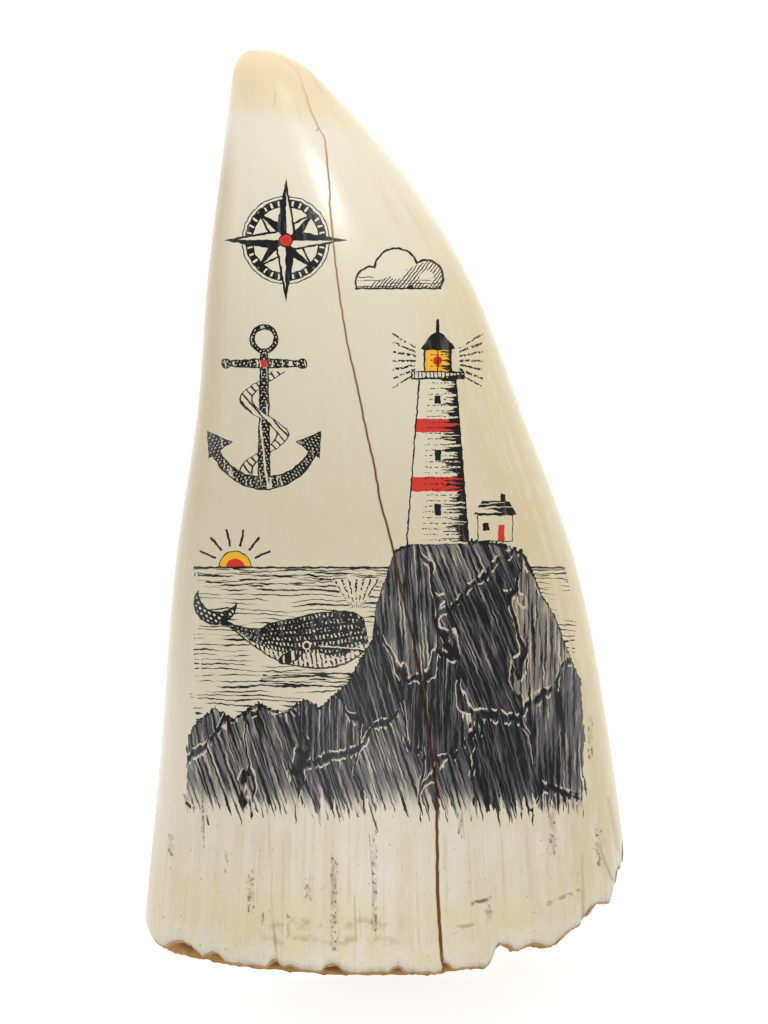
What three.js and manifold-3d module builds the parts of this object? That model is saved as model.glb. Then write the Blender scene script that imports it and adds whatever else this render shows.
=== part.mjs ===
// A whale's tooth with a polished, engraved broad face and a broken root edge.
// It lies on its back: the engraved face looks up, and the hollow root opens towards -Y.
// Millimetres. X runs across the engraved face, Y from the root to the tip, Z up from the table.
import * as THREE from "three";
import { mergeVertices } from "three/addons/utils/BufferGeometryUtils.js";
import Module from "manifold-3d";

// Driving sizes.
const toothLength = 150; // lowest point of the root edge to the tip
const rootWidth = 80.6; // across the broad face, where the root would end unbroken
const rootThickness = 52; // front to back at the root
const restFlatDepth = 0.4; // worn off the back, so that the tooth lies still
const edgeWall = 2.2; // thickness of the ivory at the root's lowest point
const edgeSlant = 0.9; // how far the broken edge recedes from its outer to its inner corner
const pulpDepth = 64; // length of the hollow in the root
const pulpFlare = 1.4; // 1 is a straight cone, more keeps the mouth wide for longer
const pulpBlunt = 0.8; // 1 ends the hollow in a point, less rounds it
const sectionFullness = 0.07; // 0 is a plain ellipse, more is squarer at the shoulders

// How the tooth's form runs from the tip to the root, as shares of its own size.
// The stations close up towards the tip, by the square of their place in the list.
const stations = [
  { width: 0, thickness: 0, bend: -0.14, lift: 0.385 },
  { width: 0.133, thickness: 0.196, bend: -0.125, lift: 0.215 },
  { width: 0.236, thickness: 0.327, bend: -0.105, lift: 0.135 },
  { width: 0.38, thickness: 0.496, bend: -0.076, lift: 0.054 },
  { width: 0.529, thickness: 0.646, bend: -0.049, lift: 0.015 },
  { width: 0.65, thickness: 0.765, bend: -0.027, lift: 0 },
  { width: 0.809, thickness: 0.877, bend: -0.009, lift: 0 },
  { width: 0.908, thickness: 0.958, bend: 0.002, lift: 0 },
  { width: 1, thickness: 1, bend: 0.005, lift: 0 },
];

// The root edge rises from the middle to both sides.
// across is a share of the half width, -1 at the left and 1 at the right; rises are in millimetres.
const edgeCrown = 4.9;
const edgeCrownSharpness = 2.2;
const edgeCorner = 3.8;
const edgeCornerSharpness = 24;

// Stretches of the right side where the wall has broken away in steps.
const brokenSteps = [
  { from: 0.38, to: 0.43, rise: 2.7 },
  { from: 0.63, to: 0.76, rise: 2.3 },
  { from: 0.765, to: 0.78, rise: 1.3 },
  { from: 0.88, to: 0.98, rise: 4.1 },
];

// Bites out of the edge, in millimetres: place across, half the width, and height.
const frontChips = [
  { at: -33.1, half: 3.5, height: 1.9 },
  { at: -27.8, half: 2, height: 1.3 },
  { at: -17.7, half: 1.2, height: 1.5 },
  { at: -15, half: 2, height: 0.6 },
  { at: -8.7, half: 1.7, height: 1.2 },
  { at: 1.3, half: 1.5, height: 1.1 },
  { at: 9, half: 1, height: 1.4 },
  { at: 13, half: 3.4, height: 0.5 },
  { at: 17.2, half: 2.5, height: 1.3 },
  { at: 22.4, half: 2, height: 0.6 },
];
const backChips = [
  { at: 12.2, half: 4.2, height: 0.7 },
  { at: 17.2, half: 2.5, height: 1.6 },
  { at: 22.4, half: 2, height: 0.6 },
];

// Splinters of the right side, in millimetres: place from the middle of the thickness, half the width, and height.
const sideChips = [
  { at: 13.5, half: 2.6, height: 1.6 },
  { at: 7.5, half: 1.8, height: 1.1 },
  { at: 1.5, half: 3.4, height: 2.2 },
  { at: -5.5, half: 2.2, height: 1.2 },
  { at: -12, half: 3.6, height: 1.9 },
];

// Fineness of the surface.
const around = 112;
const outerRings = 28;
const pulpRings = 10;
const frontCrowding = 0.5; // 0 spreads the facets evenly, towards 1 crowds them on the front

const lerp = THREE.MathUtils.lerp;
const smoothstep = THREE.MathUtils.smoothstep;

const girth = new THREE.CatmullRomCurve3(
  stations.map((s) => new THREE.Vector3((s.width * rootWidth) / 2, 0, (s.thickness * rootThickness) / 2)),
  false,
  "catmullrom",
  0.5,
);
const axis = new THREE.CatmullRomCurve3(
  stations.map(
    (s) => new THREE.Vector3(s.bend * toothLength, 0, ((s.thickness + s.lift) * rootThickness) / 2 - restFlatDepth),
  ),
  false,
  "catmullrom",
  0.5,
);

// Half width, half thickness and centre of the cross-section at a height above the root's lowest point.
function sectionAt(height) {
  const place = Math.sqrt(Math.max(0, 1 - height / toothLength));
  const half = girth.getPoint(place);
  const centre = axis.getPoint(place);
  return { halfWidth: half.x, halfThickness: half.z, x: centre.x, z: centre.z };
}

// A point at an angle on an oval with slightly full shoulders. 0 is the right side, a quarter turn the front.
function ovalPoint(angle, halfWidth, halfThickness) {
  const c = Math.cos(angle);
  const s = Math.sin(angle);
  return {
    x: halfWidth * c * (1 + sectionFullness * s * s),
    z: halfThickness * s * (1 + sectionFullness * c * c),
  };
}

// Angle of a facet line, from the middle of the back round the right side and the front.
function angleOf(turn) {
  const full = 2 * Math.PI;
  return full * turn + frontCrowding * Math.sin(full * turn) - Math.PI / 2;
}

// How high the bites in a list reach at a place along the edge.
function bitesAt(place, chips) {
  let height = 0;
  for (const chip of chips) {
    height += chip.height * Math.max(0, 1 - ((place - chip.at) / chip.half) ** 2);
  }
  return height;
}

// Height of the broken edge above the root's lowest point.
function edgeHeight(angle) {
  const across = Math.cos(angle);
  const side = Math.abs(across);
  let height = edgeCrown * side ** edgeCrownSharpness + edgeCorner * side ** edgeCornerSharpness;
  for (const step of brokenSteps) {
    height += step.rise * smoothstep(across, step.from, step.to);
  }
  const chips = Math.sin(angle) > 0 ? frontChips : backChips;
  height += bitesAt((across * rootWidth) / 2, chips);
  if (across > 0) {
    height += bitesAt((Math.sin(angle) * rootThickness) / 2, sideChips);
  }
  return height;
}

// A point of the outer surface. share is 0 at the edge and 1 at the tip.
function outerPoint(angle, share) {
  const plain = toothLength * (1 - (1 - share) ** 2);
  const height = plain + edgeHeight(angle) * (1 - share) ** 6;
  const section = sectionAt(share === 1 ? toothLength : height);
  const oval = ovalPoint(angle, section.halfWidth, section.halfThickness);
  return new THREE.Vector3(section.x + oval.x, height, section.z + oval.z);
}

// A point of the pulp hollow's wall. share is 0 at the edge and 1 at the hollow's end.
function pulpPoint(angle, share) {
  const start = edgeHeight(angle) + edgeSlant;
  const height = lerp(start, pulpDepth, share);
  const section = sectionAt(height);
  const room = share === 1 ? 0 : (1 - (height / pulpDepth) ** pulpFlare) ** pulpBlunt;
  const oval = ovalPoint(angle, (section.halfWidth - edgeWall) * room, (section.halfThickness - edgeWall) * room);
  return new THREE.Vector3(section.x + oval.x, height, section.z + oval.z);
}

// The rings of the tooth, from the tip down the outside to the edge and up into the hollow to its end.
function toothRings() {
  const rings = [];
  for (let i = outerRings; i >= 0; i--) {
    rings.push({ point: outerPoint, share: i / outerRings });
  }
  for (let i = 0; i <= pulpRings; i++) {
    rings.push({ point: pulpPoint, share: i / pulpRings });
  }
  return rings;
}

// A plain turned cup with one line of the profile for each ring, each vertex of which then takes its true place.
function toothGeometry() {
  const rings = toothRings();
  const last = rings.length - 1;
  const profile = rings.map((ring, i) => new THREE.Vector2(i === 0 || i === last ? 0 : 1, i));
  const geometry = new THREE.LatheGeometry(profile, around);
  const position = geometry.getAttribute("position");
  for (let i = 0; i < position.count; i++) {
    const ring = rings[i % rings.length];
    const turn = Math.floor(i / rings.length) / around;
    const place = ring.point(angleOf(turn % 1), ring.share);
    position.setXYZ(i, place.x, place.y, place.z);
  }
  return geometry;
}

const wasm = await Module();
wasm.setup();

function solidFrom(geometry) {
  const bare = geometry.clone();
  bare.deleteAttribute("normal");
  bare.deleteAttribute("uv");
  const merged = mergeVertices(bare, 1e-3);
  return new wasm.Manifold(
    new wasm.Mesh({
      numProp: 3,
      vertProperties: merged.attributes.position.array,
      triVerts: new Uint32Array(merged.index.array),
    }),
  );
}

function geometryFrom(solid) {
  const mesh = solid.getMesh();
  const geometry = new THREE.BufferGeometry();
  geometry.setAttribute("position", new THREE.BufferAttribute(new Float32Array(mesh.vertProperties), 3));
  geometry.setIndex(new THREE.BufferAttribute(new Uint32Array(mesh.triVerts), 1));
  geometry.computeVertexNormals();
  return geometry;
}

// Everything below the table's level, which is worn off the back.
function belowTable() {
  const block = new THREE.BoxGeometry(2 * rootWidth, 3 * toothLength, rootThickness);
  block.translate(0, toothLength / 2, -rootThickness / 2);
  return block;
}

// The tooth, with the middle of its outline over the origin.
function toothMesh() {
  const worn = solidFrom(toothGeometry()).subtract(solidFrom(belowTable()));
  const geometry = geometryFrom(worn);
  geometry.computeBoundingBox();
  const middle = geometry.boundingBox.getCenter(new THREE.Vector3());
  geometry.translate(-middle.x, -middle.y, -geometry.boundingBox.min.z);
  const ivory = new THREE.MeshStandardMaterial({ color: 0xe2d9bf, roughness: 0.3, metalness: 0 });
  const mesh = new THREE.Mesh(geometry, ivory);
  mesh.name = "tooth";
  return mesh;
}

const part = new THREE.Group();
part.add(toothMesh());

export default part;
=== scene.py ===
import math
import bmesh
import bpy
import numpy as np
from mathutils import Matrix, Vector


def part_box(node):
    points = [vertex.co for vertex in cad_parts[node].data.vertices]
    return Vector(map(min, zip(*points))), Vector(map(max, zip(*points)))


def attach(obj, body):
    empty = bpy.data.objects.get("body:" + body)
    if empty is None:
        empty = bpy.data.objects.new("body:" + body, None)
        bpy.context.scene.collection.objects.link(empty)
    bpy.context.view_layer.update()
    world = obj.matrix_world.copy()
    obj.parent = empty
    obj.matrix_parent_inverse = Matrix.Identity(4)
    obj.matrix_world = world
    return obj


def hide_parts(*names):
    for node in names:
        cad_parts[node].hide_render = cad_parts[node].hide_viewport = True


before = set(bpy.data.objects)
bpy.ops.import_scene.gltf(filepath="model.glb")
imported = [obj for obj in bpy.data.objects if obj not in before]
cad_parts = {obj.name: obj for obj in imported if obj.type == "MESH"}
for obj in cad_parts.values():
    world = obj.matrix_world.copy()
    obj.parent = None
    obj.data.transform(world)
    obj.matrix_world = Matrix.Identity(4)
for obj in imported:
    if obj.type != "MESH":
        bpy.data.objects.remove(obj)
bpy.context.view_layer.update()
low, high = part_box("tooth")
mm = 0.001


# Shader values that can be used in sums

def plug(tree, item, socket):
    if isinstance(item, Term):
        tree.links.new(item.socket, socket)
    else:
        socket.default_value = item


class Term:
    def __init__(self, socket):
        self.socket = socket
        self.tree = socket.node.id_data

    def node(self, kind, settings=None, inputs=None, output=0):
        return addNode(self.tree, kind, settings, inputs, output)

    def math(self, operation, *items):
        inputs = dict(enumerate((self, *items)))
        return self.node("ShaderNodeMath", {"operation": operation}, inputs)

    def vector(self, operation, *items, output=0):
        inputs = dict(enumerate((self, *items)))
        return self.node("ShaderNodeVectorMath", {"operation": operation}, inputs, output)

    def __add__(self, other):
        return self.math("ADD", other)

    def __sub__(self, other):
        return self.math("SUBTRACT", other)

    def __mul__(self, other):
        return self.math("MULTIPLY", other)

    def __truediv__(self, other):
        return self.math("DIVIDE", other)

    def __radd__(self, other):
        return self.math("ADD", other)

    def __rmul__(self, other):
        return self.math("MULTIPLY", other)

    def __rsub__(self, other):
        return self.math("MULTIPLY_ADD", -1.0, other)

    def __rtruediv__(self, other):
        return self.node("ShaderNodeMath", {"operation": "DIVIDE"}, {0: other, 1: self})

    def __neg__(self):
        return self.math("MULTIPLY", -1.0)

    def __abs__(self):
        return self.math("ABSOLUTE")

    def __lt__(self, other):
        return self.math("LESS_THAN", other)

    def __gt__(self, other):
        return self.math("GREATER_THAN", other)

    def __and__(self, other):
        return self.math("MULTIPLY", other)

    def __or__(self, other):
        return self.math("MAXIMUM", other)


def addNode(tree, kind, settings=None, inputs=None, output=0):
    node = tree.nodes.new(kind)
    for name, value in (settings or {}).items():
        setattr(node, name, value)
    for name, item in (inputs or {}).items():
        plug(tree, item, node.inputs[name])
    return Term(node.outputs[output])


def smooth(value, start, end):
    inputs = {"Value": value, "From Min": start, "From Max": end}
    return value.node("ShaderNodeMapRange", {"interpolation_type": "SMOOTHSTEP"}, inputs)


def mixed(first, second, share):
    return share.node("ShaderNodeMix", {"data_type": "FLOAT"}, {0: share, 2: first, 3: second})


def painted(first, second, share):
    return share.node("ShaderNodeMix", {"data_type": "RGBA"}, {0: share, 6: first, 7: second}, 2)


def least(first, *others):
    for other in others:
        first = first.math("MINIMUM", other)
    return first


def within(value, middle, reach):
    return value.math("COMPARE", middle, reach)


def separate(vector):
    node = vector.node("ShaderNodeSeparateXYZ", None, {0: vector}).socket.node
    return Term(node.outputs[0]), Term(node.outputs[1])


def together(x, y):
    return x.node("ShaderNodeCombineXYZ", None, {0: x, 1: y})


# cloudy values from 0 to 1; stretch is how many lumps there are to a millimetre each way
def grain(place, stretch, detail=1.0, shift=0.0):
    stretched = place.vector("MULTIPLY_ADD", (*stretch, 0.0), (shift, shift * 0.7, 0.0))
    inputs = {"Vector": stretched, "Scale": 1.0, "Detail": detail}
    return stretched.node("ShaderNodeTexNoise", {"noise_dimensions": "2D"}, inputs)


# a curve through the points, or straight lines between them
def curved(value, points, handle="AUTO"):
    xs, ys = zip(*points)
    lowY, highY = min(ys), max(ys)
    inputs = {"Value": value, "From Min": xs[0], "From Max": xs[-1]}
    share = value.node("ShaderNodeMapRange", None, inputs)
    result = value.node("ShaderNodeFloatCurve", None, {"Value": share})
    mapping = result.socket.node.mapping
    line = mapping.curves[0]
    while len(line.points) < len(points):
        line.points.new(0.5, 0.5)
    for dot, x, y in zip(line.points, xs, ys):
        dot.location = ((x - xs[0]) / (xs[-1] - xs[0]), (y - lowY) / (highY - lowY))
        dot.handle_type = handle
    mapping.update()
    return result.math("MULTIPLY_ADD", highY - lowY, lowY)


# a colour from the values that a paint program shows
def tint(red, green, blue):
    channels = [value / 255 for value in (red, green, blue)]
    return [c / 12.92 if c < 0.04045 else ((c + 0.055) / 1.055) ** 2.4 for c in channels] + [1.0]


# The tooth's form

toothForm = {
    "length": high.y - low.y,
    "rootWidth": (high.x - low.x) * 1.038,
    "rootThickness": (high.z - low.z) * 1.00793,
    "restFlat": 0.4 * mm,
    "edgeWall": 2.2 * mm,
    "edgeSlant": 0.9 * mm,
    "pulpDepth": 64 * mm,
    "pulpFlare": 1.4,
    "pulpBlunt": 0.8,
    "fullness": 0.07,
    "columns": 420,
    "outerRings": 150,
    "rimRings": 8,
    "pulpRings": 44,
    "ringCrowding": 1.35,  # above 1, the outer rings close up towards the tip
    "crowding": 0.9,  # how far the columns close up on the crack
    "tipCrowding": 0.6,  # what is left of that at the tip
    "tipZone": 12 * mm,
    "rimRoughness": (0.22, 0.16),
    "rimHollow": 0.25,
    "cornerSize": 0.5 * mm,
    "cornerShrink": 0.006,
    "meanRadius": 38,  # in millimetres, for measures round the tooth
    # shares of the root's width and thickness, and of the length, from the tip to the root
    "width": [0, 0.133, 0.236, 0.38, 0.529, 0.65, 0.809, 0.908, 1],
    "thickness": [0, 0.196, 0.327, 0.496, 0.646, 0.765, 0.877, 0.958, 1],
    "bend": [-0.14, -0.125, -0.105, -0.076, -0.049, -0.027, -0.009, 0.002, 0.005],
    "lift": [0.385, 0.215, 0.135, 0.054, 0.015, 0, 0, 0, 0],
}

rootEdge = {
    "crown": 4.9,
    "crownSharpness": 2.2,
    "corner": 3.8,
    "cornerSharpness": 24,
    "ragged": (0.1, 0.07),
    "rise": 0.08,
    "frontRise": 0.16,
    # each from and to, as shares of the half width, and height
    "steps": [(0.38, 0.43, 2.7), (0.63, 0.76, 2.3), (0.765, 0.78, 1.3), (0.88, 0.98, 4.1)],
    # each middle, half width and height in millimetres
    "frontChips": [
        (-33.1, 3.5, 1.9), (-27.8, 2, 1.3), (-17.7, 1.2, 1.5), (-15, 2, 0.6), (-8.7, 1.7, 1.2),
        (1.3, 1.5, 1.1), (9, 1, 1.4), (13, 3.4, 0.5), (17.2, 2.5, 1.3), (22.4, 2, 0.6),
    ],
    "backChips": [(12.2, 4.2, 0.7), (17.2, 2.5, 1.6), (22.4, 2, 0.6)],
    "sideChips": [(13.5, 2.6, 1.6), (7.5, 1.8, 1.1), (1.5, 3.4, 2.2), (-5.5, 2.2, 1.2), (-12, 3.6, 1.9)],
}

crack = {
    # place across and height above the root's lowest point, from the root edge to the tip
    "path": [
        (10.2, 0), (9.4, 2.4), (8.9, 8.7), (8.6, 16.5), (8.6, 23.5), (8.4, 30.3), (7.6, 36.6),
        (6.5, 43.9), (5.5, 49.7), (4.5, 55.4), (3.2, 60.2), (1.8, 67.4), (0.6, 72.2), (-0.7, 77.1),
        (-1.8, 83.5), (-3.3, 89.9), (-4.6, 96.5), (-6.1, 102.5), (-6.5, 105.4), (-7.6, 112.2),
        (-8.3, 119.2), (-8.8, 123.9), (-8.8, 127.9), (-9.2, 131.3), (-9.6, 135.4), (-10.6, 137.2),
        (-11.9, 140.1), (-14, 146.4), (-17.5, 149.5),
    ],
    "wander": (0.06, 0.04),
    "depth": (0.65, 0.03),  # in millimetres, at the root and at the tip
    "halfWidth": (0.17, 0.09),
    "tipFade": 6 * mm,
    "notch": 0.9 * mm,  # how deep it cuts into the broken rim
    "notchWidth": 0.35 * mm,
}


# a smooth run through evenly spaced values
def along(values, place):
    values = np.array(values, float)
    spot = place * (len(values) - 1)
    first = np.clip(np.floor(spot).astype(int), 0, len(values) - 2)
    share = spot - first
    padded = np.concatenate([[2 * values[0] - values[1]], values, [2 * values[-1] - values[-2]]])
    before, start, end, after = (padded[first + k] for k in range(4))
    startSlope, endSlope = (end - before) / 2, (after - start) / 2
    bend = 3 * (end - start) - 2 * startSlope - endSlope
    twist = 2 * (start - end) + startSlope + endSlope
    return start + share * (startSlope + share * (bend + share * twist))


def sectionAt(height):
    form = toothForm
    place = np.sqrt(np.clip(1 - height / form["length"], 0, 1))
    lift = np.array(form["thickness"]) + np.array(form["lift"])
    return {
        "halfWidth": along(form["width"], place) * form["rootWidth"] / 2,
        "halfThickness": along(form["thickness"], place) * form["rootThickness"] / 2,
        "x": along(form["bend"], place) * form["length"],
        "z": along(lift, place) * form["rootThickness"] / 2 - form["restFlat"],
    }


def ovalPoint(angle, halfWidth, halfThickness):
    c, s = np.cos(angle), np.sin(angle)
    full = toothForm["fullness"]
    return halfWidth * c * (1 + full * s * s), halfThickness * s * (1 + full * c * c)


def edgeHeight(angle):
    across = np.cos(angle)
    side = np.abs(across)
    edge = rootEdge
    height = edge["crown"] * side ** edge["crownSharpness"]
    height = height + edge["corner"] * side ** edge["cornerSharpness"]
    for start, end, rise in edge["steps"]:
        share = np.clip((across - start) / (end - start), 0, 1)
        height = height + rise * share * share * (3 - 2 * share)
    place = across * toothForm["rootWidth"] / mm / 2
    depthPlace = np.sin(angle) * toothForm["rootThickness"] / mm / 2
    for spot, chips, shown in (
        (place, edge["frontChips"], np.sin(angle) > 0),
        (place, edge["backChips"], np.sin(angle) <= 0),
        (depthPlace, edge["sideChips"], across > 0),
    ):
        for middle, half, bite in chips:
            height = height + shown * bite * np.maximum(0, 1 - ((spot - middle) / half) ** 2)
    coarse, fine = edge["ragged"]
    height = height + coarse * np.sin(angle * 61 + 2 * np.sin(angle * 23))
    height = height + fine * np.sin(angle * 137 + 3 * np.sin(angle * 41))
    return (height + edge["frontRise"] * np.clip(np.sin(angle), 0, 1) + edge["rise"]) * mm


# the angle at which the crack lies at each height, found on a fan over the front
def crackAngles(heights):
    xs, ys = zip(*crack["path"])
    slow, quick = crack["wander"]
    wave = heights / mm
    place = np.interp(wave, ys, xs)
    place = place + slow * np.sin(wave * 1.3 + np.sin(wave * 0.7) * 2) + quick * np.sin(wave * 3.1)
    section = sectionAt(heights)
    angles = []
    fan = np.linspace(math.pi - 0.15, 0.15, 500)
    for i, x in enumerate(place):
        across = ovalPoint(fan, section["halfWidth"][i], section["halfThickness"][i])[0]
        angles.append(np.interp(x * mm - section["x"][i], across, fan))
    return np.array(angles)


# a closed turned shell with its rings at whole heights, whose points the tooth's form then places
def lathe(name, rings, columns):
    shell = bmesh.new()
    profile = [shell.verts.new((0 if i in (0, rings - 1) else 1, 0, i)) for i in range(rings)]
    edges = [shell.edges.new(pair) for pair in zip(profile, profile[1:])]
    bmesh.ops.spin(
        shell, geom=profile + edges, cent=(0, 0, 0), axis=(0, 0, 1),
        steps=columns, angle=2 * math.pi, use_merge=True,
    )
    bmesh.ops.remove_doubles(shell, verts=shell.verts, dist=1e-4)
    bmesh.ops.recalc_face_normals(shell, faces=shell.faces)
    mesh = bpy.data.meshes.new(name)
    shell.to_mesh(mesh)
    shell.free()
    return mesh


# a size in millimetres that runs evenly from the root to the tip
def rootToTip(height, sizes):
    share = np.clip(height / toothForm["length"], 0, 1)
    return (sizes[0] + (sizes[1] - sizes[0]) * share) * mm


# three islands: the engraved front, the back at half its scale, and the rim and hollow as a disc
bakeMap = {
    "span": 151 * mm,
    "margin": 0.003,
    "front": 0.312,
    "unroll": 0.25,  # 0 is flat across the front, 1 is rolled out round it
    "back": (0.81, 0.49),
    "disc": (0.815, 0.24),
    "radius": 0.175,
}


def addBakeMap(mesh, isOuter, inner, angle, height, section):
    corners = np.zeros(len(mesh.loops), int)
    mesh.loops.foreach_get("vertex_index", corners)
    sizes = np.zeros(len(mesh.polygons), int)
    mesh.polygons.foreach_get("loop_total", sizes)
    face = np.repeat(np.arange(len(sizes)), sizes)
    onFace = {
        name: (np.bincount(face, values[corners]) / sizes)[face]
        for name, values in {"outer": isOuter.astype(float), "front": np.sin(angle)}.items()
    }
    span, unroll = bakeMap["span"], bakeMap["unroll"]
    wide, middle = section["halfWidth"], section["x"]
    spread = middle + wide * ((1 - unroll) * np.cos(angle) + unroll * (math.pi / 2 - angle))
    front = np.column_stack([bakeMap["front"] + spread / span, bakeMap["margin"] + height / span])
    backU, backV = bakeMap["back"]
    backSpread = middle + wide * np.cos(angle)
    back = np.column_stack([backU + backSpread / span / 2, backV + height / span / 2])
    radius = bakeMap["radius"] * (1 - inner)
    discU, discV = bakeMap["disc"]
    disc = np.column_stack([discU + radius * np.cos(angle), discV + radius * np.sin(angle)])
    isFront = (onFace["front"] > 0)[:, None]
    isShell = (onFace["outer"] > 0.99)[:, None]
    spots = np.where(isShell, np.where(isFront, front[corners], back[corners]), disc[corners])
    layer = mesh.uv_layers.new(name="OFBake")
    layer.data.foreach_set("uv", spots.ravel().astype(np.float32))


# how the broken rim waves between its outer and its inner corner
def rimWaves(angle, across):
    coarse, fine = toothForm["rimRoughness"]
    rough = coarse * np.sin(angle * 47 + 9 * across) + fine * np.sin(angle * 113 - 14 * across)
    arch = np.sin(across * math.pi)
    return (rough * arch - toothForm["rimHollow"] * arch ** 0.5) * mm


# how deep the drying crack is, which is a narrow groove down the engraved face
def crackGroove(away, height):
    groove = np.exp(-(away / rootToTip(height, crack["halfWidth"])) ** 2)
    groove = groove * rootToTip(height, crack["depth"])
    return groove * np.clip((toothForm["length"] - height) / crack["tipFade"], 0, 1)


def makeTooth():
    form = toothForm
    outer, rim, pulp = form["outerRings"], form["rimRings"], form["pulpRings"]
    rings = outer + rim + pulp + 1
    mesh = lathe("engravedTooth", rings, form["columns"])
    spots = np.zeros(len(mesh.vertices) * 3)
    mesh.vertices.foreach_get("co", spots)
    spots = spots.reshape(-1, 3)
    ring = np.round(spots[:, 2]).astype(int)
    turn = np.arctan2(spots[:, 1], spots[:, 0]) % (2 * math.pi)
    isOuter = ring <= outer
    isPulp = ring >= outer + rim

    # heights of the outer rings, closer together at the tip
    plain = form["length"] * (1 - (np.minimum(ring, outer) / outer) ** form["ringCrowding"])
    table = np.linspace(0, form["length"] * 0.999, 600)
    crackTable = crackAngles(table)
    swing = turn - math.pi
    nearTip = np.clip((form["length"] - plain) / form["tipZone"], form["tipCrowding"], 1)
    angle = np.interp(plain, table, crackTable) + swing - form["crowding"] * nearTip * np.sin(swing)
    edge = edgeHeight(angle)
    settle = (1 - plain / form["length"]) ** 3
    height = np.where(isOuter, plain + edge * settle, edge)

    # from the broken edge's outer corner over the rim into the hollow
    across = np.clip((ring - outer) / rim, 0, 1)
    start = edge + form["edgeSlant"]
    pulpShare = np.clip((ring - outer - rim) / pulp, 0, 1)
    pulpHeight = start + (form["pulpDepth"] - start) * pulpShare
    height = np.where(isOuter, height, np.where(isPulp, pulpHeight, edge + form["edgeSlant"] * across))
    section = sectionAt(height)
    halfWidth, halfThickness = section["halfWidth"], section["halfThickness"]
    depthShare = np.clip(height / form["pulpDepth"], 0, 1)
    room = (1 - depthShare ** form["pulpFlare"]) ** form["pulpBlunt"]
    innerWidth = (halfWidth - form["edgeWall"]) * room
    innerThickness = (halfThickness - form["edgeWall"]) * room
    innerX, innerZ = ovalPoint(angle, innerWidth, innerThickness)
    outerX, outerZ = ovalPoint(angle, halfWidth, halfThickness)
    inward = np.where(isOuter, 0, across)
    x = outerX + (innerX - outerX) * inward
    z = outerZ + (innerZ - outerZ) * inward
    y = height.copy()

    # the broken rim is rough, and its outer corner is worn round
    onRim = ~isOuter & ~isPulp
    y += onRim * rimWaves(angle, across)
    corner = np.clip(1 - (height - edge) / form["cornerSize"], 0, 1) * isOuter
    shrink = 1 - form["cornerShrink"] * corner ** 2
    x, z = x * shrink, z * shrink

    # the drying crack, measured across it along the surface
    reach = np.hypot(halfWidth * np.sin(angle), halfThickness * np.cos(angle))
    away = (angle - np.interp(height, table, crackTable)) * reach
    groove = isOuter * crackGroove(away, height)
    normalX, normalZ = np.cos(angle) * halfThickness, np.sin(angle) * halfWidth
    steep = np.hypot(normalX, normalZ) + 1e-12
    x -= normalX / steep * groove
    z -= normalZ / steep * groove
    y += onRim * np.exp(-(away / crack["notchWidth"]) ** 2) * crack["notch"] * (np.sin(angle) > 0)

    x += section["x"]
    x += (low.x + high.x - x.min() - x.max()) / 2
    z = np.maximum(z + section["z"], 0)
    y += low.y
    mesh.vertices.foreach_set("co", np.column_stack([x, y, z]).ravel())
    mesh.update()

    # what the material needs to know of the form
    facts = {
        "facing": np.where(isOuter, np.sin(angle), -1),
        "across": np.cos(angle),
        "around": (math.pi / 2 - angle) * form["meanRadius"],
        "crackAway": np.clip(away / mm, -6, 6),
        "edgeUp": np.where(isOuter, (height - edge) / mm, 0),
        "inward": np.where(isPulp, 1 + pulpShare, inward),
    }
    for name, values in facts.items():
        layer = mesh.attributes.new(name, "FLOAT", "POINT")
        layer.data.foreach_set("value", values.astype(np.float32))
    mesh.shade_smooth()
    inner = np.clip((ring - outer) / (rim + pulp), 0, 1)
    addBakeMap(mesh, isOuter, inner, angle, height, section)
    tooth = bpy.data.objects.new("engravedTooth", mesh)
    bpy.context.scene.collection.objects.link(tooth)
    return tooth


tooth = makeTooth()
print("tooth:", len(tooth.data.polygons), "faces")


# The generic engraving, in millimetres on the front of the tooth

class Picture:
    def __init__(self, place):
        blank = place.node("ShaderNodeValue")
        blank.socket.default_value = 0.0
        self.place = place
        self.ink = blank
        self.red = blank
        self.yellow = blank

    # draws over what is there, where the mask is 1
    def over(self, mask, ink=0.0, red=0.0, yellow=0.0):
        self.ink = mixed(self.ink, ink, mask)
        self.red = mixed(self.red, red, mask)
        self.yellow = mixed(self.yellow, yellow, mask)


def circle(place, middle, radius):
    return place.vector("DISTANCE", (*middle, 0.0), output=1) - radius


def box(x, y, middle, reach):
    return within(x, middle[0], reach[0]) & within(y, middle[1], reach[1])


def stroke(value, half):
    return abs(value) < half


def anyOf(value, spans):
    found = within(value, *spans[0])
    for span in spans[1:]:
        found = found | within(value, *span)
    return found


compassRose = {"middle": (-16, 44), "radius": 9.2, "lesser": 6.0, "waist": 2.0, "line": 0.17, "ring": 1.3}
cloud = {
    "lobes": [((-2.2, 37.2), 2.5), ((1.9, 39.2), 3.5), ((6.7, 38.0), 2.8)],
    "base": 36.2,
    "shade": 3.2,
}
horizon = -9.0
sun = {"middle": (-24.2, -9.0), "radius": 2.7, "rays": (3.5, 6.3)}
whale = {
    "back": [
        (-26, -17.2), (-23.5, -18.4), (-20.5, -18.8), (-18.5, -18.0), (-15, -17.2), (-10, -16.2),
        (-6, -16), (-4, -16.7), (-3, -18.6), (-2.7, -21),
    ],
    "belly": [
        (-26, -18.0), (-23.5, -20), (-20, -22.6), (-16, -24.6), (-11, -25.4), (-7.5, -25),
        (-5, -23.9), (-3.6, -22.9), (-3, -22.4), (-2.7, -21.2),
    ],
    "body": (-14.35, 11.65),  # middle and half length
    "mouth": (-6.8, 3.6),
    "flukes": (-27.4, -14.8),
    "flukeRadius": 3.5,
    "stem": (-25.9, -17.6),
    "spout": (-4.6, -15.6),
    "eye": (-12.6, -21.6),
    "flipper": (-15.2, -23.4),
    "rows": 8,
    "ticks": 0.62,
}
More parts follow.
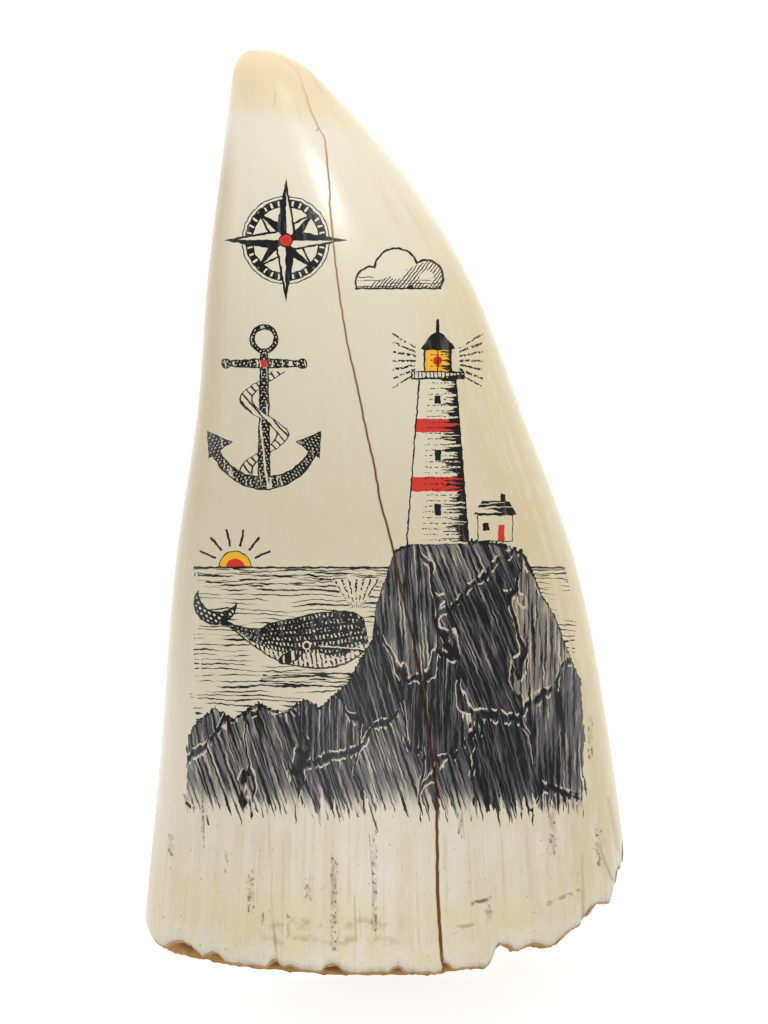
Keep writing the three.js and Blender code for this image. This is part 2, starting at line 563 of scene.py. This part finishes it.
cliff = {
    "skyline": [
        (-33, -38), (-30.5, -34), (-27.5, -31.6), (-24.5, -33.4), (-20.5, -30.8), (-16.5, -32.6),
        (-13, -30.2), (-10.4, -31.6), (-8, -29.4), (-5.8, -27.4), (-4.4, -24.6), (-2, -20.5),
        (-1.4, -15), (0.2, -10.5), (1.6, -6.2), (4, -5), (13, -4.4), (19, -5), (22.5, -6.4),
        (24.2, -10), (25.5, -13.5), (27.5, -16.5), (29.5, -22), (32.5, -29),
    ],
    "foot": -48.6,
    "facet": (10, 19),  # width and height of a face of rock
    "slant": (-0.06, 0.42),  # least and most slant of its strokes
    "halfWidth": 33.6,
}
lighthouse = {
    "middle": 8.6,
    "sides": [
        (-6, 5.2), (21.4, 3.1), (21.5, 4.3), (22.7, 4.3), (22.8, 2.3), (26.3, 2.3), (26.4, 2.9),
        (28.6, 1.1), (29.1, 0.35), (31.2, 0.2), (31.3, 0),
    ],
    # each with its middle and half its height
    "whole": (13.0, 18.2),
    "bands": [(4.5, 1.2), (14, 1.1)],
    "windows": [(9.2, 0.9), (0.4, 0.9), (18.2, 0.7)],
    "rows": [(21.6, 0.14), (22.7, 0.12), (26.35, 0.14)],
    "rail": (22.1, 0.6),
    "lantern": (24.5, 1.7),
    "dome": 26.4,
    "beams": (5.4, 1.9),
}
cottage = {"middle": (17.9, -2.6), "reach": (2.9, 2.2), "ridge": 2.2}
anchor = {
    "middle": -19.5, "size": 1.14, "ring": (26.3, 1.7), "stock": 22.8, "crown": 5.6,
    "armMiddle": 13.4, "armRadius": 7.6, "shank": (15.2, 9.6), "cable": (14.4, 7.3),
}
handShake = {"lumps": 0.9, "reach": 0.34}


def drawStrokes(place):
    x, y = separate(place)
    leaning = together(x + y * 0.1, y)
    return {
        "upright": grain(leaning, (1.8, 0.11), 2.0),
        "level": grain(place, (0.16, 2.6), 1.5, 5.0),
        "patch": grain(place, (0.2, 0.11), 1.5, 9.0),
        "dots": grain(place, (2.2, 2.2), 0.0, 3.0),
        "wear": grain(leaning, (1.0, 0.14), 2.0, 14.0),
    }


# short marks in rows, each row set off from the last
def ticks(along, across, tickSize, rowSize, share):
    rows = across / rowSize
    places = along / tickSize + rows.math("FLOOR") * 0.37
    return (rows.math("PINGPONG", 0.5) > 0.22) & (places.math("PINGPONG", 0.5) < share)


def drawRose(picture):
    rose = compassRose
    away = picture.place.vector("SUBTRACT", (*rose["middle"], 0.0))
    x, y = separate(away)
    rim = away.vector("LENGTH", output=1)
    turn = y.math("ARCTAN2", x)
    marks = (turn * (16 / math.pi)).math("PINGPONG", 0.5) < 0.13
    outer = rose["radius"] * 0.72
    ring = within(rim, outer - rose["ring"] / 2, rose["ring"] / 2)
    pale = marks & within(rim, outer - rose["ring"] / 2, rose["ring"] / 2 - 0.25)
    ink = (ring & (1.0 - pale)) | stroke(rim - outer - 0.45, 0.09)
    shown = rim < outer + 0.55
    for dx, dy, reach in (
        ((x + y) * 0.7071, (x - y) * 0.7071, rose["lesser"]),
        (x, y, rose["radius"]),
    ):
        sideX, sideY = abs(dx), abs(dy)
        longer, shorter = sideX | sideY, sideX.math("MINIMUM", sideY)
        waist = rose["waist"] * 0.7071
        size = math.hypot(waist, reach - waist)
        rimWay = longer * (waist / size) + shorter * ((reach - waist) / size) - waist * reach / size
        dark = (dx * dy * (sideX - sideY)) > 0.0
        inside = rimWay < rose["line"]
        point = inside & (dark | (abs(rimWay) < rose["line"]) | stroke(shorter, 0.07))
        ink = mixed(ink, point, inside)
        shown = shown | inside
    picture.over(shown, ink)
    hub = rim < 1.15
    picture.over(hub, stroke(rim - 1.05, 0.12), rim < 1.0, rim < 0.5)


def drawCloud(picture, strokes):
    shape = least(*[circle(picture.place, middle, radius) for middle, radius in cloud["lobes"]])
    x, y = separate(picture.place)
    above = y > cloud["base"]
    inside = (shape < 0.0) & above
    rows = ((y * 2.0).math("PINGPONG", 0.5) < 0.15) & (strokes["level"] > 0.5) & (y < cloud["base"] + 1.9)
    hatch = (x * 1.7 - y * 1.3).math("PINGPONG", 0.5) < 0.19
    hatch = hatch & (shape > -cloud["shade"] * strokes["patch"]) & (x * 0.4 + cloud["base"] + 1.7 > y)
    edge = stroke(shape, 0.17) & above
    base = within(y, cloud["base"], 0.13) & (shape < 0.3)
    picture.over(edge | inside | base, edge | base | ((rows | hatch) & inside))


def drawSun(picture):
    away = picture.place.vector("SUBTRACT", (*sun["middle"], 0.0))
    x, y = separate(away)
    rim = away.vector("LENGTH", output=1)
    above = y > 0.0
    turn = y.math("ARCTAN2", x)
    rays = (turn * (7 / math.pi)).math("PINGPONG", 0.5) < 0.4 / rim
    near, far = sun["rays"]
    rays = rays & within(rim, (near + far) / 2, (far - near) / 2) & above
    disc = (rim < sun["radius"]) & above
    core = sun["radius"] * 0.55
    picture.over(rays, 1.0)
    picture.over(disc, stroke(rim - sun["radius"], 0.17), rim < core, rim > core)


def drawSea(picture, strokes):
    x, y = separate(picture.place)
    swell = grain(picture.place, (0.11, 0.3), 1.0, 7.0)
    rows = y * 1.22 + x * 0.02 + swell * 1.5
    row = rows.math("FLOOR")
    dashes = grain(together(x * 0.15, row * 7.7), (1.0, 1.0), 1.0, 2.0)
    width = (dashes - 0.44) * 1.25
    lines = (rows.math("PINGPONG", 0.5) < width.math("MINIMUM", 0.19)) & (y < horizon)
    shadow = within(y, -27.2, 1.2) & (abs(x + 12) < 6.0 + strokes["patch"] * 6)
    heavy = (strokes["level"] > 0.6) & within(y, horizon - 1.7, 1.5)
    heavy = heavy | ((strokes["level"] > 0.52) & shadow)
    skyline = within(y, horizon, 0.16)
    reach = (abs(x) + strokes["wear"] * 5 < 33.0) & (y > cliff["foot"] + 4)
    picture.over((y < horizon + 0.16) & reach, (lines | heavy | skyline) & reach)


def drawWhale(picture, strokes):
    x, y = separate(picture.place)
    back = curved(x, whale["back"])
    belly = curved(x, whale["belly"])
    inside = least(back - y, y - belly)
    body = (inside > 0.0) & within(x, *whale["body"])
    share = (y - belly) / (back - belly)
    light = ticks(x + share * 1.5, share, whale["ticks"], 1 / whale["rows"], 0.2)
    light = light & (strokes["dots"] + share * 0.3 < 0.72)
    grooves = ((x * 1.3 + share * 2).math("PINGPONG", 0.5) < 0.22) & (strokes["dots"] > 0.4)
    pale = share + strokes["patch"] * 0.25 < 0.36
    ink = (inside < 0.26) | mixed(1.0 - light, grooves, pale)
    jaw = y + (x + 3.2) * 0.07
    ink = mixed(ink, 0.0, within(jaw, -22.2, 0.1) & within(x, *whale["mouth"]))
    ink = ink | (within(jaw, -22.5, 0.15) & within(x, -7.4, 4.2))
    eye = circle(picture.place, whale["eye"], 0.0)
    ink = mixed(ink, 0.0, within(eye, 0.58, 0.13)) | (eye < 0.4)
    aside = picture.place.vector("SUBTRACT", (*whale["flipper"], 0.0))
    ax, ay = separate(aside)
    flipper = together(ax * 0.42 + ay * 0.2, ay * 0.95 - ax * 0.45).vector("LENGTH", output=1)
    flukes, radius = whale["flukes"], whale["flukeRadius"]
    bite = circle(picture.place, (flukes[0] + 0.6, flukes[1] + 2.0), radius - 0.15)
    crescent = circle(picture.place, flukes, radius) | (bite * -1.0)
    stem = box(x, y, whale["stem"], (0.5, 0.8))
    feathered = ticks(x * 0.7 + y * 0.7, y * 0.7 - x * 0.7, 0.7, 0.8, 0.22)
    picture.over(body, ink)
    picture.over(flipper < 1.0, (flipper > 0.8) | (strokes["upright"] < 0.56))
    picture.over(crescent < 0.0, (crescent > -0.3) | (1.0 - feathered))
    picture.over(stem, 1.0)
    spoutX, spoutY = whale["spout"]
    up = y - spoutY
    fan = (x - spoutX) / (up + 1.4)
    spray = (abs(fan) < 0.64) & within(up, 2.4, 2.4)
    jets = ((fan * 5.2).math("PINGPONG", 0.5) < 0.17) & (strokes["dots"] > 0.44)
    picture.over(spray, jets)


def drawCliff(picture, strokes):
    x, y = separate(picture.place)
    skyline = curved(x, cliff["skyline"], "VECTOR")
    under = skyline - y + (strokes["dots"] - 0.5) * 0.9
    # facets of rock, each with its own shade and slant of strokes
    wide, tall = cliff["facet"]
    rock = together(x / wide + strokes["patch"] * 0.8, y / tall + strokes["wear"] * 0.12)
    settings, inputs = {"voronoi_dimensions": "2D"}, {"Vector": rock, "Scale": 1.0}
    shade, turn = separate(rock.node("ShaderNodeTexVoronoi", settings, inputs, 1))
    seam = rock.node("ShaderNodeTexVoronoi", {**settings, "feature": "DISTANCE_TO_EDGE"}, inputs)
    leastSlant, mostSlant = cliff["slant"]
    slant = turn * (mostSlant - leastSlant) + leastSlant
    leaning = together(x + y * slant, y)
    hatch = grain(leaning, (2.3, 0.08), 3.0, 13.0)
    pale = grain(leaning, (3.1, 0.12), 2.0, 29.0)
    footPlace = cliff["foot"]
    foot = smooth(y, footPlace + 6, footPlace - 2)
    level = 0.36 + shade * 0.16 + foot * 0.08 + smooth(abs(x), 27, 32.5) * 0.08
    strokeInk = smooth(hatch, level - 0.04, level + 0.14)
    wash = (0.68 - shade * 0.3) * (1.0 - foot)
    ink = wash + strokeInk * (1.0 - wash)
    ink = ink * (1.0 - smooth(pale, 0.57, 0.7) * (shade * 0.3 + 0.4))
    glint = within(seam, 0.047, 0.009) & (strokes["wear"] > 0.5)
    joint = smooth(seam, 0.038, 0.016) & (strokes["wear"] > 0.4)
    ink = mixed(ink, 0.15, glint) | joint | (under < 0.5)
    ends = grain(together(x + y * 0.16, y * 0.02), (1.1, 1.0), 2.0, 17.0)
    body = (under > 0.0) & (y > footPlace + (ends - 0.5) * 13)
    picture.over(body & (abs(x) + strokes["wear"] * 3 < cliff["halfWidth"]), ink)


def drawCottage(picture, strokes):
    x, y = separate(picture.place)
    middle, reach = cottage["middle"], cottage["reach"]
    wall = box(x, y, middle, reach)
    inner = box(x, y, middle, (reach[0] - 0.16, reach[1] - 0.16))
    window = box(x, y, (middle[0] - 1.5, middle[1] + 0.2), (0.5, 0.6))
    door = box(x, y, (middle[0] + 1.0, middle[1] - 0.8), (0.55, 1.3))
    picture.over(wall, (1.0 - inner) | window, door)
    eaves = middle[1] + reach[1]
    up = y - eaves
    roof = (abs(x - middle[0]) < 3.5 - up * 0.6) & within(up, cottage["ridge"] / 2, cottage["ridge"] / 2)
    chimney = box(x, y, (middle[0] + 1.3, eaves + 2.4), (0.4, 0.9))
    picture.over(chimney, 1.0)
    picture.over(roof, (strokes["level"] < 0.58) | (up < 0.2))


def drawLighthouse(picture, strokes):
    x, y = separate(picture.place)
    tower = lighthouse
    side = abs(x - tower["middle"])
    half = curved(y, tower["sides"], "VECTOR")
    inside = (side < half) & within(y, *tower["whole"])
    edge = side > half - 0.24
    shade = (x - tower["middle"]) / half
    hatch = (strokes["level"] > 0.8 - shade * 0.5) & (shade > -0.15)
    hatch = hatch | (((y * 1.1).math("PINGPONG", 0.5) < 0.09) & (strokes["dots"] > 0.5) & (shade > -0.5))
    windows = (side < 0.5) & anyOf(y, tower["windows"])
    lantern = within(y, *tower["lantern"]) & (side < 2.2)
    bars = (side.math("PINGPONG", 1.05) < 0.1) & lantern
    rail = ((side * 1.6).math("PINGPONG", 0.5) < 0.14) & within(y, *tower["rail"])
    ink = edge | hatch | anyOf(y, tower["rows"]) | windows | (y > tower["dome"]) | bars | rail
    lamp = (tower["middle"], tower["lantern"][0])
    glow = circle(picture.place, lamp, 0.0) < 0.75
    picture.over(inside, ink, (anyOf(y, tower["bands"]) & (edge < 0.5)) | (lantern & glow), lantern)
    # beams of light
    ax, ay = separate(picture.place.vector("SUBTRACT", (*lamp, 0.0)))
    slope = ay / abs(ax)
    beams = ((slope * 5).math("PINGPONG", 0.5) < 0.9 / abs(ax)) & (abs(slope) < 0.62)
    beams = beams & within(abs(ax), *tower["beams"]) & (strokes["dots"] > 0.4)
    picture.over(beams & (y > 20), 1.0)


def drawAnchor(picture, strokes):
    x, y = separate(picture.place)
    dx = (x - anchor["middle"]) / anchor["size"]
    y = (y - 14) / anchor["size"] + 14
    side = abs(dx)
    place = together(side, y)
    ringY, ringRadius = anchor["ring"]
    ring = abs(circle(place, (0.0, ringY), ringRadius)) - 0.36
    stock = (abs(y - anchor["stock"]) + side * 0.06 - 0.75) | (side - 5.4)
    knob = circle(place, (5.4, anchor["stock"]), 0.75)
    shankY, shankReach = anchor["shank"]
    shank = (side - 0.95 + (y - anchor["crown"]) * 0.02) | (abs(y - shankY) - shankReach)
    arm = abs(circle(place, (0.0, anchor["armMiddle"]), anchor["armRadius"])) - 1.0 + side * 0.05
    arm = arm | (y - 12.2 + side * 0.1)
    # the flukes are triangles that point up and out
    turned = side * 0.82 - y * 0.57
    other = side * 0.57 + y * 0.82
    fluke = (abs(turned + 0.9) - 2.1 + (other - 12.1) * 0.62) | (12.1 - other)
    shape = least(ring, stock, knob, shank, arm, fluke)
    inside = shape < 0.0
    shine = (strokes["upright"] > 0.63) | ticks(side + y, side - y, 0.7, 0.7, 0.13)
    # the cable winds round the shank
    wave = (y * 0.62).math("SINE") * 2.6
    cable = abs(dx - wave) - 0.95
    hidden = ((y * 0.62).math("COSINE") > 0.15) & (shank < 0.0)
    cableHere = (cable < 0.0) & within(y, *anchor["cable"]) & (hidden < 0.5)
    strands = ((y * 0.8 + dx * 0.9).math("PINGPONG", 0.5) < 0.15) | (cable > -0.22)
    picture.over(inside, (shape > -0.2) | (shine < 0.5))
    picture.over(cableHere, strands)
    picture.over(circle(place, (0.0, anchor["stock"]), 0.55) < 0.0, 0.0, 1.0)


# what comes later lies over what came before
def drawPicture(place):
    # the hand that cuts the lines shakes a little
    settings = {"noise_dimensions": "2D"}
    inputs = {"Vector": place, "Scale": handShake["lumps"], "Detail": 1.0}
    shake = place.node("ShaderNodeTexNoise", settings, inputs, 1)
    reach = handShake["reach"]
    shift = shake.vector("MULTIPLY_ADD", (reach, reach, 0.0), (-reach / 2, -reach / 2, 0.0))
    place = shift.vector("ADD", place).vector("MULTIPLY", (1.0, 1.0, 0.0))
    strokes = drawStrokes(place)
    picture = Picture(place)
    drawCloud(picture, strokes)
    drawSun(picture)
    drawSea(picture, strokes)
    drawWhale(picture, strokes)
    drawCliff(picture, strokes)
    drawCottage(picture, strokes)
    drawLighthouse(picture, strokes)
    drawAnchor(picture, strokes)
    drawRose(picture)
    return picture, strokes


ivory = {
    # height in millimetres from the middle of the tooth, and colour
    "tones": [
        (-75, (228, 217, 190)), (-63, (228, 217, 191)), (-52, (226, 217, 195)), (-30, (219, 209, 184)),
        (0, (212, 202, 175)), (30, (222, 215, 190)), (48, (230, 222, 199)), (57, (234, 227, 205)),
        (62, (234, 227, 209)), (65, (234, 217, 184)), (71, (235, 214, 173)), (75, (226, 205, 164)),
    ],
    # painted shade: the tans laid along the right and the left side stand for the shade where the surface
    # turns away from the light
    "rightSideShade": (213, 194, 152),
    "leftSideShade": (187, 169, 127),
    "white": (232, 228, 216),
    "cream": (212, 195, 156),
    "yellow": (224, 210, 166),
    "tan": (176, 146, 100),
    "brown": (112, 78, 42),
    "crackWidth": [
        (-75, 0.21), (-60, 0.2), (-45, 0.15), (-20, 0.13), (10, 0.12), (35, 0.1), (60, 0.08), (75, 0.06),
    ],
    "crackTones": [
        (-75, (150, 101, 42)), (-52, (140, 90, 36)), (-46, (96, 46, 28)), (-28, (88, 44, 28)),
        (0, (110, 70, 42)), (30, (146, 112, 72)), (56, (176, 142, 100)), (66, (206, 168, 116)),
        (75, (214, 178, 126)),
    ],
    "rim": (192, 142, 74),
    "pulp": (140, 92, 42),
    "wash": (98, 97, 98),
    "black": (18, 18, 19),
    "red": (206, 24, 16),
    "yellowInk": (238, 178, 24),
}
gloss = {
    "polish": 0.17,  # roughness, to which the next four are added in their places
    "fibres": 0.1,
    "broken": 0.4,
    "inked": 0.12,
    "nearRoot": 0.14,
    "specular": 0.3,
    "ior": 1.5,
    "reliefStrength": 0.3,
    "reliefDepth": 0.2 * mm,
}

# columns of pores near the root: place across, top and bottom, and half the width
poreColumns = [
    (-34.6, -52, -56, 0.6), (-29.4, -46.5, -52, 0.25), (-25.7, -55, -58.4, 0.35), (-21.7, -58, -65, 0.7),
    (-19.7, -64.8, -68.8, 0.3), (-15.6, -64.8, -68.8, 0.3), (-12.3, -59.3, -63, 0.8),
    (-8.2, -55.5, -71, 0.75), (-1.7, -50, -68, 0.5), (12.2, -48.4, -52.7, 0.45), (17, -62.2, -66, 0.5),
    (27.1, -44, -55.6, 0.7), (33.3, -33, -40, 0.5), (34.7, -51, -57.5, 0.6),
]

# fine lines near the root and at the tip: where each starts and ends, half its width, and its strength;
# hairlines are soft and whole, and scratches are dark and broken up
hairlines = [
    ((-18.9, -47), (-18.1, -66), 0.16, 0.14), ((-18.1, -66), (-17.3, -74), 0.18, 0.34),
    ((-2.6, -52), (-1.8, -62), 0.08, 0.5), ((-1.9, -62), (-1.4, -69), 0.06, 0.35),
    ((-4.8, -62), (-4.6, -70), 0.06, 0.35), ((-4.1, -64), (-3.9, -69), 0.05, 0.3),
    ((31.9, -55), (32.1, -62), 0.22, 0.2), ((32.0, -61), (32.2, -66), 0.25, 0.34),
    ((34.4, -53.4), (37, -59.8), 0.25, 0.34), ((36.2, -46), (37.8, -55), 0.3, 0.18),
    ((12.6, -49), (12.9, -53.4), 0.07, 0.4), ((-17.7, 68.3), (-17.9, 65.6), 0.16, 0.16),
    ((-12.6, 72), (-9.9, 67.6), 0.2, 0.16), ((-14.4, 66.4), (-13.4, 63), 0.14, 0.1),
]
scratches = [
    ((-29.5, -44), (-29.3, -54.5), 0.12, 0.75), ((26.2, -63.5), (31.7, -61.2), 0.32, 0.5),
    ((14, -63.4), (16.9, -62.7), 0.32, 0.8), ((16.1, -64.6), (17.2, -64.9), 0.25, 0.6),
    ((11, -68.4), (13.9, -66.6), 0.14, 0.4), ((11.6, -67.2), (14.8, -66.9), 0.3, 0.4),
    ((-11.2, 61.6), (-10.5, 62.2), 0.16, 0.85), ((-23.1, 63.2), (-22.9, 62.9), 0.12, 0.4),
]


# colours that follow one another with the height
def toned(height, stops):
    first, last = stops[0][0], stops[-1][0]
    result = height.node("ShaderNodeValToRGB", None, {0: (height - first) * (1 / (last - first))})
    ramp = result.socket.node.color_ramp
    while len(ramp.elements) < len(stops):
        ramp.elements.new(0.5)
    for element, (spot, colour) in zip(ramp.elements, stops):
        element.position = (spot - first) / (last - first)
        element.color = tint(*colour)
    return result


# a line with soft sides from start to end
def scratched(x, y, start, end, half):
    runX, runY = end[0] - start[0], end[1] - start[1]
    middle = [(start[i] + end[i]) / 2 for i in range(2)]
    if abs(runX) > abs(runY):
        aside = y - middle[1] - (x - middle[0]) * (runY / runX)
        alongLine, reach = abs(x - middle[0]), abs(runX) / 2
    else:
        aside = x - middle[0] - (y - middle[1]) * (runX / runY)
        alongLine, reach = abs(y - middle[1]), abs(runY) / 2
    return smooth(abs(aside), half * 1.6, half * 0.4) & smooth(alongLine, reach + 0.3, reach - 0.5)


def drawPores(place, fine):
    x, y = separate(place)
    swayed = x + fine * 0.5 - 0.25
    columns = None
    for middle, top, bottom, half in poreColumns:
        reach = (top - bottom) / 2
        column = smooth(abs(swayed - middle), half * 1.3, half * 0.2)
        column = column & smooth(abs(y - (top + bottom) / 2), reach + 0.7, reach - 0.9)
        columns = column if columns is None else columns | column
    specks = grain(place, (1.8, 1.3), 2.0, 8.0)
    smears = grain(place, (0.9, 0.4), 2.0, 41.0)
    dots = smooth(specks, 0.53, 0.68) & smooth(columns, 0.15, 0.6)
    sparse = smooth(specks, 0.745, 0.79) & smooth(y, -40, -50)
    brown = dots * 0.8 | sparse * 0.5 | (columns & smooth(smears, 0.36, 0.66)) * 0.34
    broken = grain(place, (0.6, 1.2), 1.0, 27.0)
    whole = None
    for start, end, half, strength in hairlines:
        line = scratched(swayed, y, start, end, half) * strength
        whole = line if whole is None else whole | line
    for start, end, half, strength in scratches:
        brown = brown | (scratched(swayed, y, start, end, half) & smooth(broken, 0.34, 0.56)) * strength
    return brown | whole * (smears * 0.8 + 0.6)


# the colour laid so far, with what its layers need to know of the surface
class Coat:
    def __init__(self, tree):
        names = ("facing", "across", "around", "crackAway", "edgeUp", "inward")
        kind = "ShaderNodeAttribute"
        self.facts = {name: addNode(tree, kind, {"attribute_name": name}, None, 2) for name in names}
        self.place = addNode(tree, "ShaderNodeTexCoord", None, None, 3).vector("SCALE")
        self.place.socket.node.inputs["Scale"].default_value = 1 / mm
        self.x, self.y = separate(self.place)
        self.fibres = together(self.facts["around"], self.y)
        self.fine = grain(self.fibres, (1.9, 0.03), 2.0, 6.0)
        self.nearRoot = smooth(self.y, -42, -56)
        self.colour = toned(self.y + self.x * 0.16 + 2.0, ivory["tones"])

    def add(self, tone, share):
        tone = tone if isinstance(tone, Term) else tint(*ivory[tone])
        self.colour = painted(self.colour, tone, share)


# painted shade darkening both sides where the surface turns from the light, stripes along the fibres, and
# the yellowed and chalky zones above the broken edge
def addSideShadeAndStripes(coat):
    y, facts, fibres, nearRoot = coat.y, coat.facts, coat.fibres, coat.nearRoot
    cloudy = grain(fibres, (0.045, 0.03), 2.0)
    broad = grain(fibres, (0.42, 0.02), 3.0, 4.0)
    blotches = grain(fibres, (0.17, 0.13), 2.0, 9.0)
    mottled = grain(fibres, (1.1, 0.4), 3.0, 33.0)
    stripes = broad * 0.42 + blotches * 0.28 + mottled * 0.3
    # painted shade, tinted tan, along the right side, fading towards the tip and the root
    rightShade = smooth(facts["across"] + cloudy * 0.5, 0.62, 1.2)
    coat.add("rightSideShade", rightShade * (0.9 - smooth(y, 30, 56) * 0.6 - smooth(y, -46, -58) * 0.4))
    # painted shade along the left edge, between the root and the tip
    leftShade = smooth(-facts["across"], 0.74, 1.0) & smooth(y, -35, 20) & smooth(y, 66, 52)
    coat.add("leftSideShade", leftShade * 0.8)
    seen = smooth(facts["facing"], -0.95, -0.7)
    striping = (nearRoot * 0.3 + smooth(facts["across"], 0.35, 0.8) * 0.18 + 0.06) * seen
    coat.add("white", smooth(stripes, 0.5, 0.6) * striping)
    coat.add("cream", smooth(stripes, 0.48, 0.38) * striping * 0.8)
    streaks = smooth(coat.fine * 0.6 + mottled * 0.4, 0.53, 0.7)
    coat.add("tan", streaks * (nearRoot * 0.26 + 0.02))
    edgeUp = facts["edgeUp"]
    yellowed = smooth(edgeUp + blotches * 8, 19, 12) & smooth(edgeUp + stripes * 5, 3.5, 6.5)
    yellowed = yellowed & smooth(blotches, 0.36, 0.6)
    coat.add("yellow", yellowed * (0.6 - rightShade * 0.4))
    chalky = smooth(edgeUp + stripes * 7, 8.2, 5.2) & smooth(blotches, 0.62, 0.44)
    coat.add("white", chalky * 0.45)


# two rows of blots above the root, specks along its edge, pores, and the brown of the broken corner
def addStains(coat):
    x, y, edgeUp = coat.x, coat.y, coat.facts["edgeUp"]
    blots = grain(coat.place, (0.42, 0.5), 2.0, 21.0)
    rows = smooth(abs(y + 66.6), 1.5, 0.1) | smooth(abs(y + 69.4), 1.3, 0.1)
    rows = rows & smooth(abs(x + 9), 15, 7)
    coat.add("tan", smooth(blots, 0.42, 0.68) * rows * 0.5)
    specks = smooth(grain(coat.place, (1.2, 1.6), 2.0, 51.0), 0.5, 0.66)
    coat.add("yellow", (specks & within(edgeUp, 2.3, 1.1)) * 0.6)
    outside = coat.facts["facing"] > -0.5
    coat.add("brown", drawPores(coat.place, coat.fine) * outside)
    corner = smooth(edgeUp - coat.fine * 0.3, 0.22, 0.05) & outside
    coat.add("rim", corner * 0.8)


def addEngraving(coat):
    picture, strokes = drawPicture(coat.place)
    shown = coat.facts["facing"] > 0.36
    coat.add("yellowInk", picture.yellow * shown * 0.95)
    coat.add("red", picture.red * shown * 0.95)
    ink = picture.ink * shown
    worn = ink * (1.0 - smooth(strokes["wear"], 0.5, 0.72) * 0.3)
    coat.add("wash", smooth(worn, 0.0, 0.55))
    coat.add("black", smooth(worn, 0.4, 1.0))
    return ink


# the stain in the crack, paler towards the tip, with a faint halo and a dark border near the root
def addCrack(coat):
    y, away = coat.y, abs(coat.facts["crackAway"])
    cracked = coat.facts["facing"] > 0.05
    width = curved(y, ivory["crackWidth"])
    tone = toned(y, ivory["crackTones"])
    halo = smooth(away, width + 0.25, width) * cracked
    coat.add(tone, halo * 0.22)
    soft = smooth(y, 50, 68) * 0.12
    gap = smooth(away - width - soft, 0.05, -0.05) * cracked
    coat.add(tone, gap * (1.0 - smooth(y, 56, 62) * 0.45 - smooth(y, 65, 71) * 0.4))
    border = within(away, width, 0.055) & smooth(y, -44, -52)
    coat.add("brown", border * cracked * 0.55)


def makeIvory():
    material = bpy.data.materials.new("ivory")
    material.use_nodes = True
    tree = material.node_tree
    coat = Coat(tree)
    addSideShadeAndStripes(coat)
    addStains(coat)
    ink = addEngraving(coat)
    addCrack(coat)
    inward = coat.facts["inward"]
    coat.add("rim", smooth(inward, 0.0, 0.2))
    coat.add("pulp", smooth(inward, 0.5, 1.05))

    ridges = grain(coat.fibres, (2.2, 0.04), 2.0, 6.0)
    bump = ridges.node("ShaderNodeBump", None, {
        "Strength": gloss["reliefStrength"],
        "Distance": gloss["reliefDepth"],
        "Height": ridges * (coat.nearRoot * 0.5 + 0.05),
    })
    roughness = gloss["polish"] + coat.fine * gloss["fibres"] + smooth(inward, 0.0, 0.4) * gloss["broken"]
    roughness = roughness + ink * gloss["inked"] + coat.nearRoot * gloss["nearRoot"]

    shader = tree.nodes["Principled BSDF"]
    plug(tree, coat.colour, shader.inputs["Base Color"])
    plug(tree, roughness, shader.inputs["Roughness"])
    plug(tree, bump, shader.inputs["Normal"])
    shader.inputs["Specular IOR Level"].default_value = gloss["specular"]
    shader.inputs["IOR"].default_value = gloss["ior"]
    return material


tooth.data.materials.append(makeIvory())
print("ivory:", len(tooth.data.materials[0].node_tree.nodes), "nodes")
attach(tooth, "root")
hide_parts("tooth")


# Floor, lights and camera

studio = {
    "lamps": {
        "key": {"place": (0.08, 0.82, 0.59), "size": 0.07, "power": 3.7, "colour": (1, 1, 1)},
        "overhead": {"place": (-0.22, -0.1, 1.4), "size": 0.9, "power": 5.6, "colour": (1, 1, 1)},
        "rightFill": {"place": (0.9, -0.2, 0.8), "size": 0.8, "power": 0.8, "colour": (1, 0.98, 0.94)},
    },
    "aim": (0, 0, 0.02),
    "floorGlow": 0.5,
    "surroundings": 0.4,
    "pictureHeight": 0.1658,  # metres from the bottom to the top of the frame
    "camera": (-0.0001, 0, 0.6),
}


def makeFloor():
    grid = bmesh.new()
    bmesh.ops.create_grid(grid, x_segments=1, y_segments=1, size=2.0)
    mesh = bpy.data.meshes.new("floor")
    grid.to_mesh(mesh)
    grid.free()
    floor = bpy.data.objects.new("floor", mesh)
    bpy.context.scene.collection.objects.link(floor)
    material = bpy.data.materials.new("floorWhite")
    material.use_nodes = True
    shader = material.node_tree.nodes["Principled BSDF"]
    shader.inputs["Base Color"].default_value = (0.9, 0.9, 0.9, 1)
    shader.inputs["Roughness"].default_value = 0.9
    shader.inputs["Specular IOR Level"].default_value = 0.1
    shader.inputs["Emission Color"].default_value = (1, 1, 1, 1)
    shader.inputs["Emission Strength"].default_value = studio["floorGlow"]
    mesh.materials.append(material)
    return floor


def makeLamp(name, place, size, power, colour):
    data = bpy.data.lights.new(name, "AREA")
    data.shape = "DISK"
    data.size = size
    data.energy = power
    data.color = colour
    lamp = bpy.data.objects.new(name, data)
    lamp.location = place
    lamp.rotation_euler = (Vector(studio["aim"]) - Vector(place)).to_track_quat("-Z", "Y").to_euler()
    bpy.context.scene.collection.objects.link(lamp)


makeFloor()
for name, lamp in studio["lamps"].items():
    makeLamp(name, **lamp)

world = bpy.data.worlds.new("studio")
world.use_nodes = True
world.node_tree.nodes["Background"].inputs["Color"].default_value = (1, 1, 1, 1)
world.node_tree.nodes["Background"].inputs["Strength"].default_value = studio["surroundings"]
scene = bpy.context.scene
scene.world = world
scene.view_settings.view_transform = "Standard"

lens = bpy.data.cameras.new("camera")
lens.type = "ORTHO"
lens.ortho_scale = studio["pictureHeight"]
camera = bpy.data.objects.new("camera", lens)
camera.location = studio["camera"]
scene.collection.objects.link(camera)
scene.camera = camera

print("stage and camera done")
